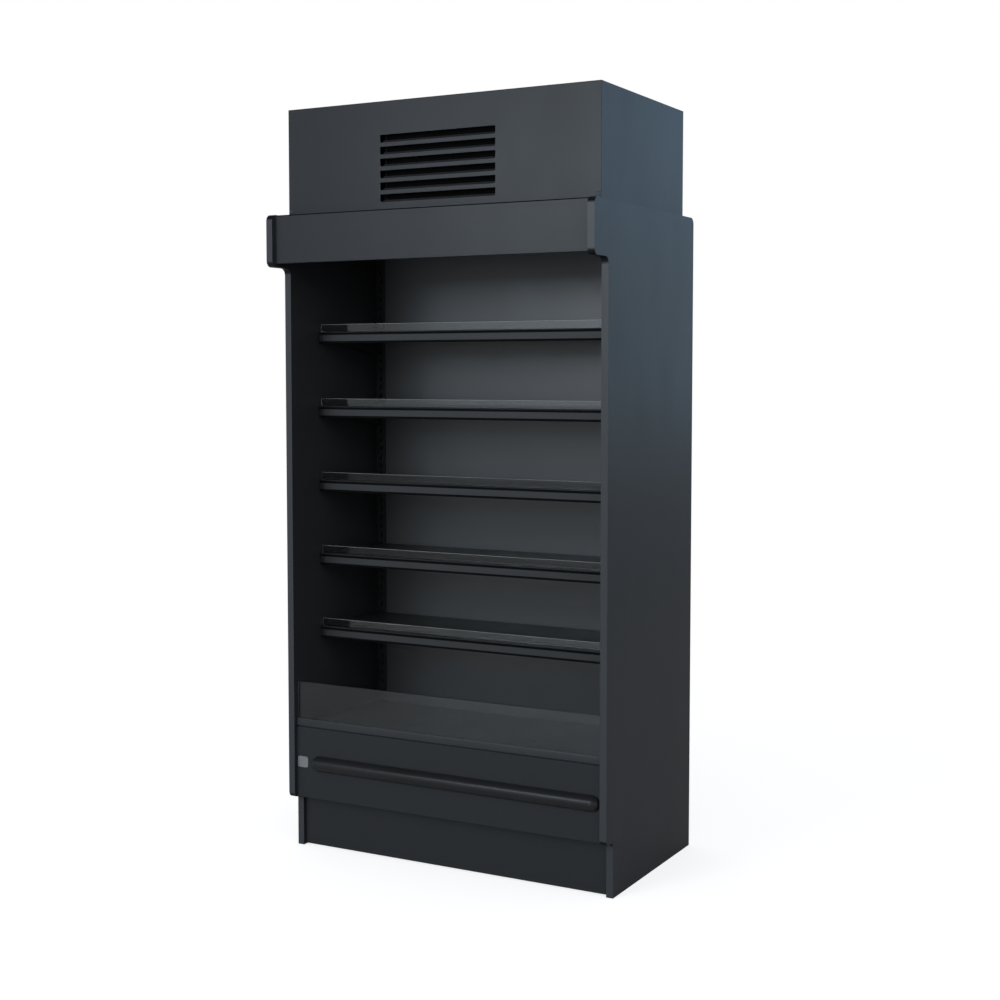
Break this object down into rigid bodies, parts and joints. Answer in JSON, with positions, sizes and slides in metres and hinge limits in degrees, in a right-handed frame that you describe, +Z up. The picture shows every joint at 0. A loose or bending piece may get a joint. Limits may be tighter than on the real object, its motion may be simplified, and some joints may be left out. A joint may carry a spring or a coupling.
{
  "type": "open multideck display fridge",
  "caption": "Slim upright open-front display fridge with adjustable shelves, overhanging canopy, clear base riser, bumper rail and a louvred plant box on top.",
  "frame": {"origin": "on the floor, under the middle of the cabinet's outer box", "axes": "+X to the right seen from the shopper's side, +Y to the rear, +Z up"},
  "size_m": [0.96, 0.63, 2.01],
  "materials": {
    "anthracite_paint": "satin",
    "end_panel_skin": "satin",
    "liner_paint": "satin",
    "shelf_paint": "satin",
    "insulation_panel": "matte",
    "bumper_vinyl": "satin",
    "badge_metal": "satin",
    "trim_extrusion": "satin",
    "clear_acrylic": "gloss",
    "galvanised_steel": "satin",
    "zinc_screw": "satin",
    "black_rubber": "matte",
    "black_plastic": "matte",
    "lamp_aluminium": "satin",
    "coil_aluminium": "satin",
    "dark_sheet": "satin",
    "compressor_enamel": "gloss",
    "copper_pipe": "satin",
    "control_box_sheet": "matte",
    "button_plastic": "satin"
  },
  "bodies": {
    "cabinet": {"kick_plate": "anthracite_paint", "lower_front_panel": "anthracite_paint", "canopy_fascia": "anthracite_paint", "plant_front": "anthracite_paint", "plant_shell": "anthracite_paint", "plant_lid": "anthracite_paint", "left_end_panel": "end_panel_skin", "right_end_panel": "end_panel_skin", "inner_back_panel": "liner_paint", "return_air_grille": "liner_paint", "ceiling_panel": "liner_paint", "uprights": "shelf_paint", "shelf_brackets": "shelf_paint", "insulated_back": "insulation_panel", "insulated_base": "insulation_panel", "insulated_roof": "insulation_panel", "bumper_rail": "bumper_vinyl", "badge_plate": "badge_metal", "riser_holder": "trim_extrusion", "base_riser": "clear_acrylic", "base_frame": "galvanised_steel", "plant_base_plate": "galvanised_steel", "condenser_fan_motor": "galvanised_steel", "evaporator_fan_tray": "galvanised_steel", "panel_screws": "zinc_screw", "levelling_feet": "black_rubber", "condensate_tray": "black_plastic", "drain_pipe": "black_plastic", "air_honeycomb": "black_plastic", "power_inlet": "black_plastic", "controller": "black_plastic", "led_lamp": "lamp_aluminium", "condenser_coil": "coil_aluminium", "evaporator_coil": "coil_aluminium", "rear_grille": "dark_sheet", "fan_shroud": "dark_sheet", "compressor": "compressor_enamel", "refrigerant_pipes": "copper_pipe", "electrical_box": "control_box_sheet"},
    "shelf_1": {"shelf_pan_1": "shelf_paint", "price_rail_1": "trim_extrusion", "shelf_riser_1": "clear_acrylic"},
    "shelf_2": {"shelf_pan_2": "shelf_paint", "price_rail_2": "trim_extrusion", "shelf_riser_2": "clear_acrylic"},
    "shelf_3": {"shelf_pan_3": "shelf_paint", "price_rail_3": "trim_extrusion", "shelf_riser_3": "clear_acrylic"},
    "shelf_4": {"shelf_pan_4": "shelf_paint", "price_rail_4": "trim_extrusion", "shelf_riser_4": "clear_acrylic"},
    "shelf_5": {"shelf_pan_5": "shelf_paint", "price_rail_5": "trim_extrusion", "shelf_riser_5": "clear_acrylic"},
    "deck": {"base_deck": "liner_paint"},
    "condenser_fan": {"condenser_fan": "black_plastic"},
    "left_evaporator_fan": {"left_evaporator_fan": "black_plastic"},
    "right_evaporator_fan": {"right_evaporator_fan": "black_plastic"},
    "power_switch": {"power_switch": "black_plastic"},
    "controller_button": {"controller_button": "button_plastic"}
  },
  "joints": [
    {"name": "shelf_1_slide", "type": "slide", "parent": "cabinet", "child": "shelf_1", "axis": [0, -1, 0], "range_m": [0, 0.52]},
    {"name": "shelf_2_slide", "type": "slide", "parent": "cabinet", "child": "shelf_2", "axis": [0, -1, 0], "range_m": [0, 0.52]},
    {"name": "shelf_3_slide", "type": "slide", "parent": "cabinet", "child": "shelf_3", "axis": [0, -1, 0], "range_m": [0, 0.52]},
    {"name": "shelf_4_slide", "type": "slide", "parent": "cabinet", "child": "shelf_4", "axis": [0, -1, 0], "range_m": [0, 0.52]},
    {"name": "shelf_5_slide", "type": "slide", "parent": "cabinet", "child": "shelf_5", "axis": [0, -1, 0], "range_m": [0, 0.52]},
    {"name": "deck_lift", "type": "slide", "parent": "cabinet", "child": "deck", "axis": [0, 0, 1], "range_m": [0, 0.18]},
    {"name": "condenser_fan_spin", "type": "hinge", "parent": "cabinet", "child": "condenser_fan", "pos_m": [0, -0.103, 1.84], "axis": [0, 1, 0], "continuous": true},
    {"name": "left_evaporator_fan_spin", "type": "hinge", "parent": "cabinet", "child": "left_evaporator_fan", "pos_m": [-0.19, -0.0493, 0.256], "axis": [0, 1, 0], "continuous": true},
    {"name": "right_evaporator_fan_spin", "type": "hinge", "parent": "cabinet", "child": "right_evaporator_fan", "pos_m": [0.19, -0.0493, 0.256], "axis": [0, 1, 0], "continuous": true},
    {"name": "power_switch_rock", "type": "hinge", "parent": "cabinet", "child": "power_switch", "pos_m": [-0.315, 0.28275, 1.8045], "axis": [1, 0, 0], "range_deg": [-14, 0]},
    {"name": "controller_button_press", "type": "slide", "parent": "cabinet", "child": "controller_button", "axis": [0, -1, 0], "range_m": [0, 0.0015], "stiffness_N_per_m": 400}
  ]
}
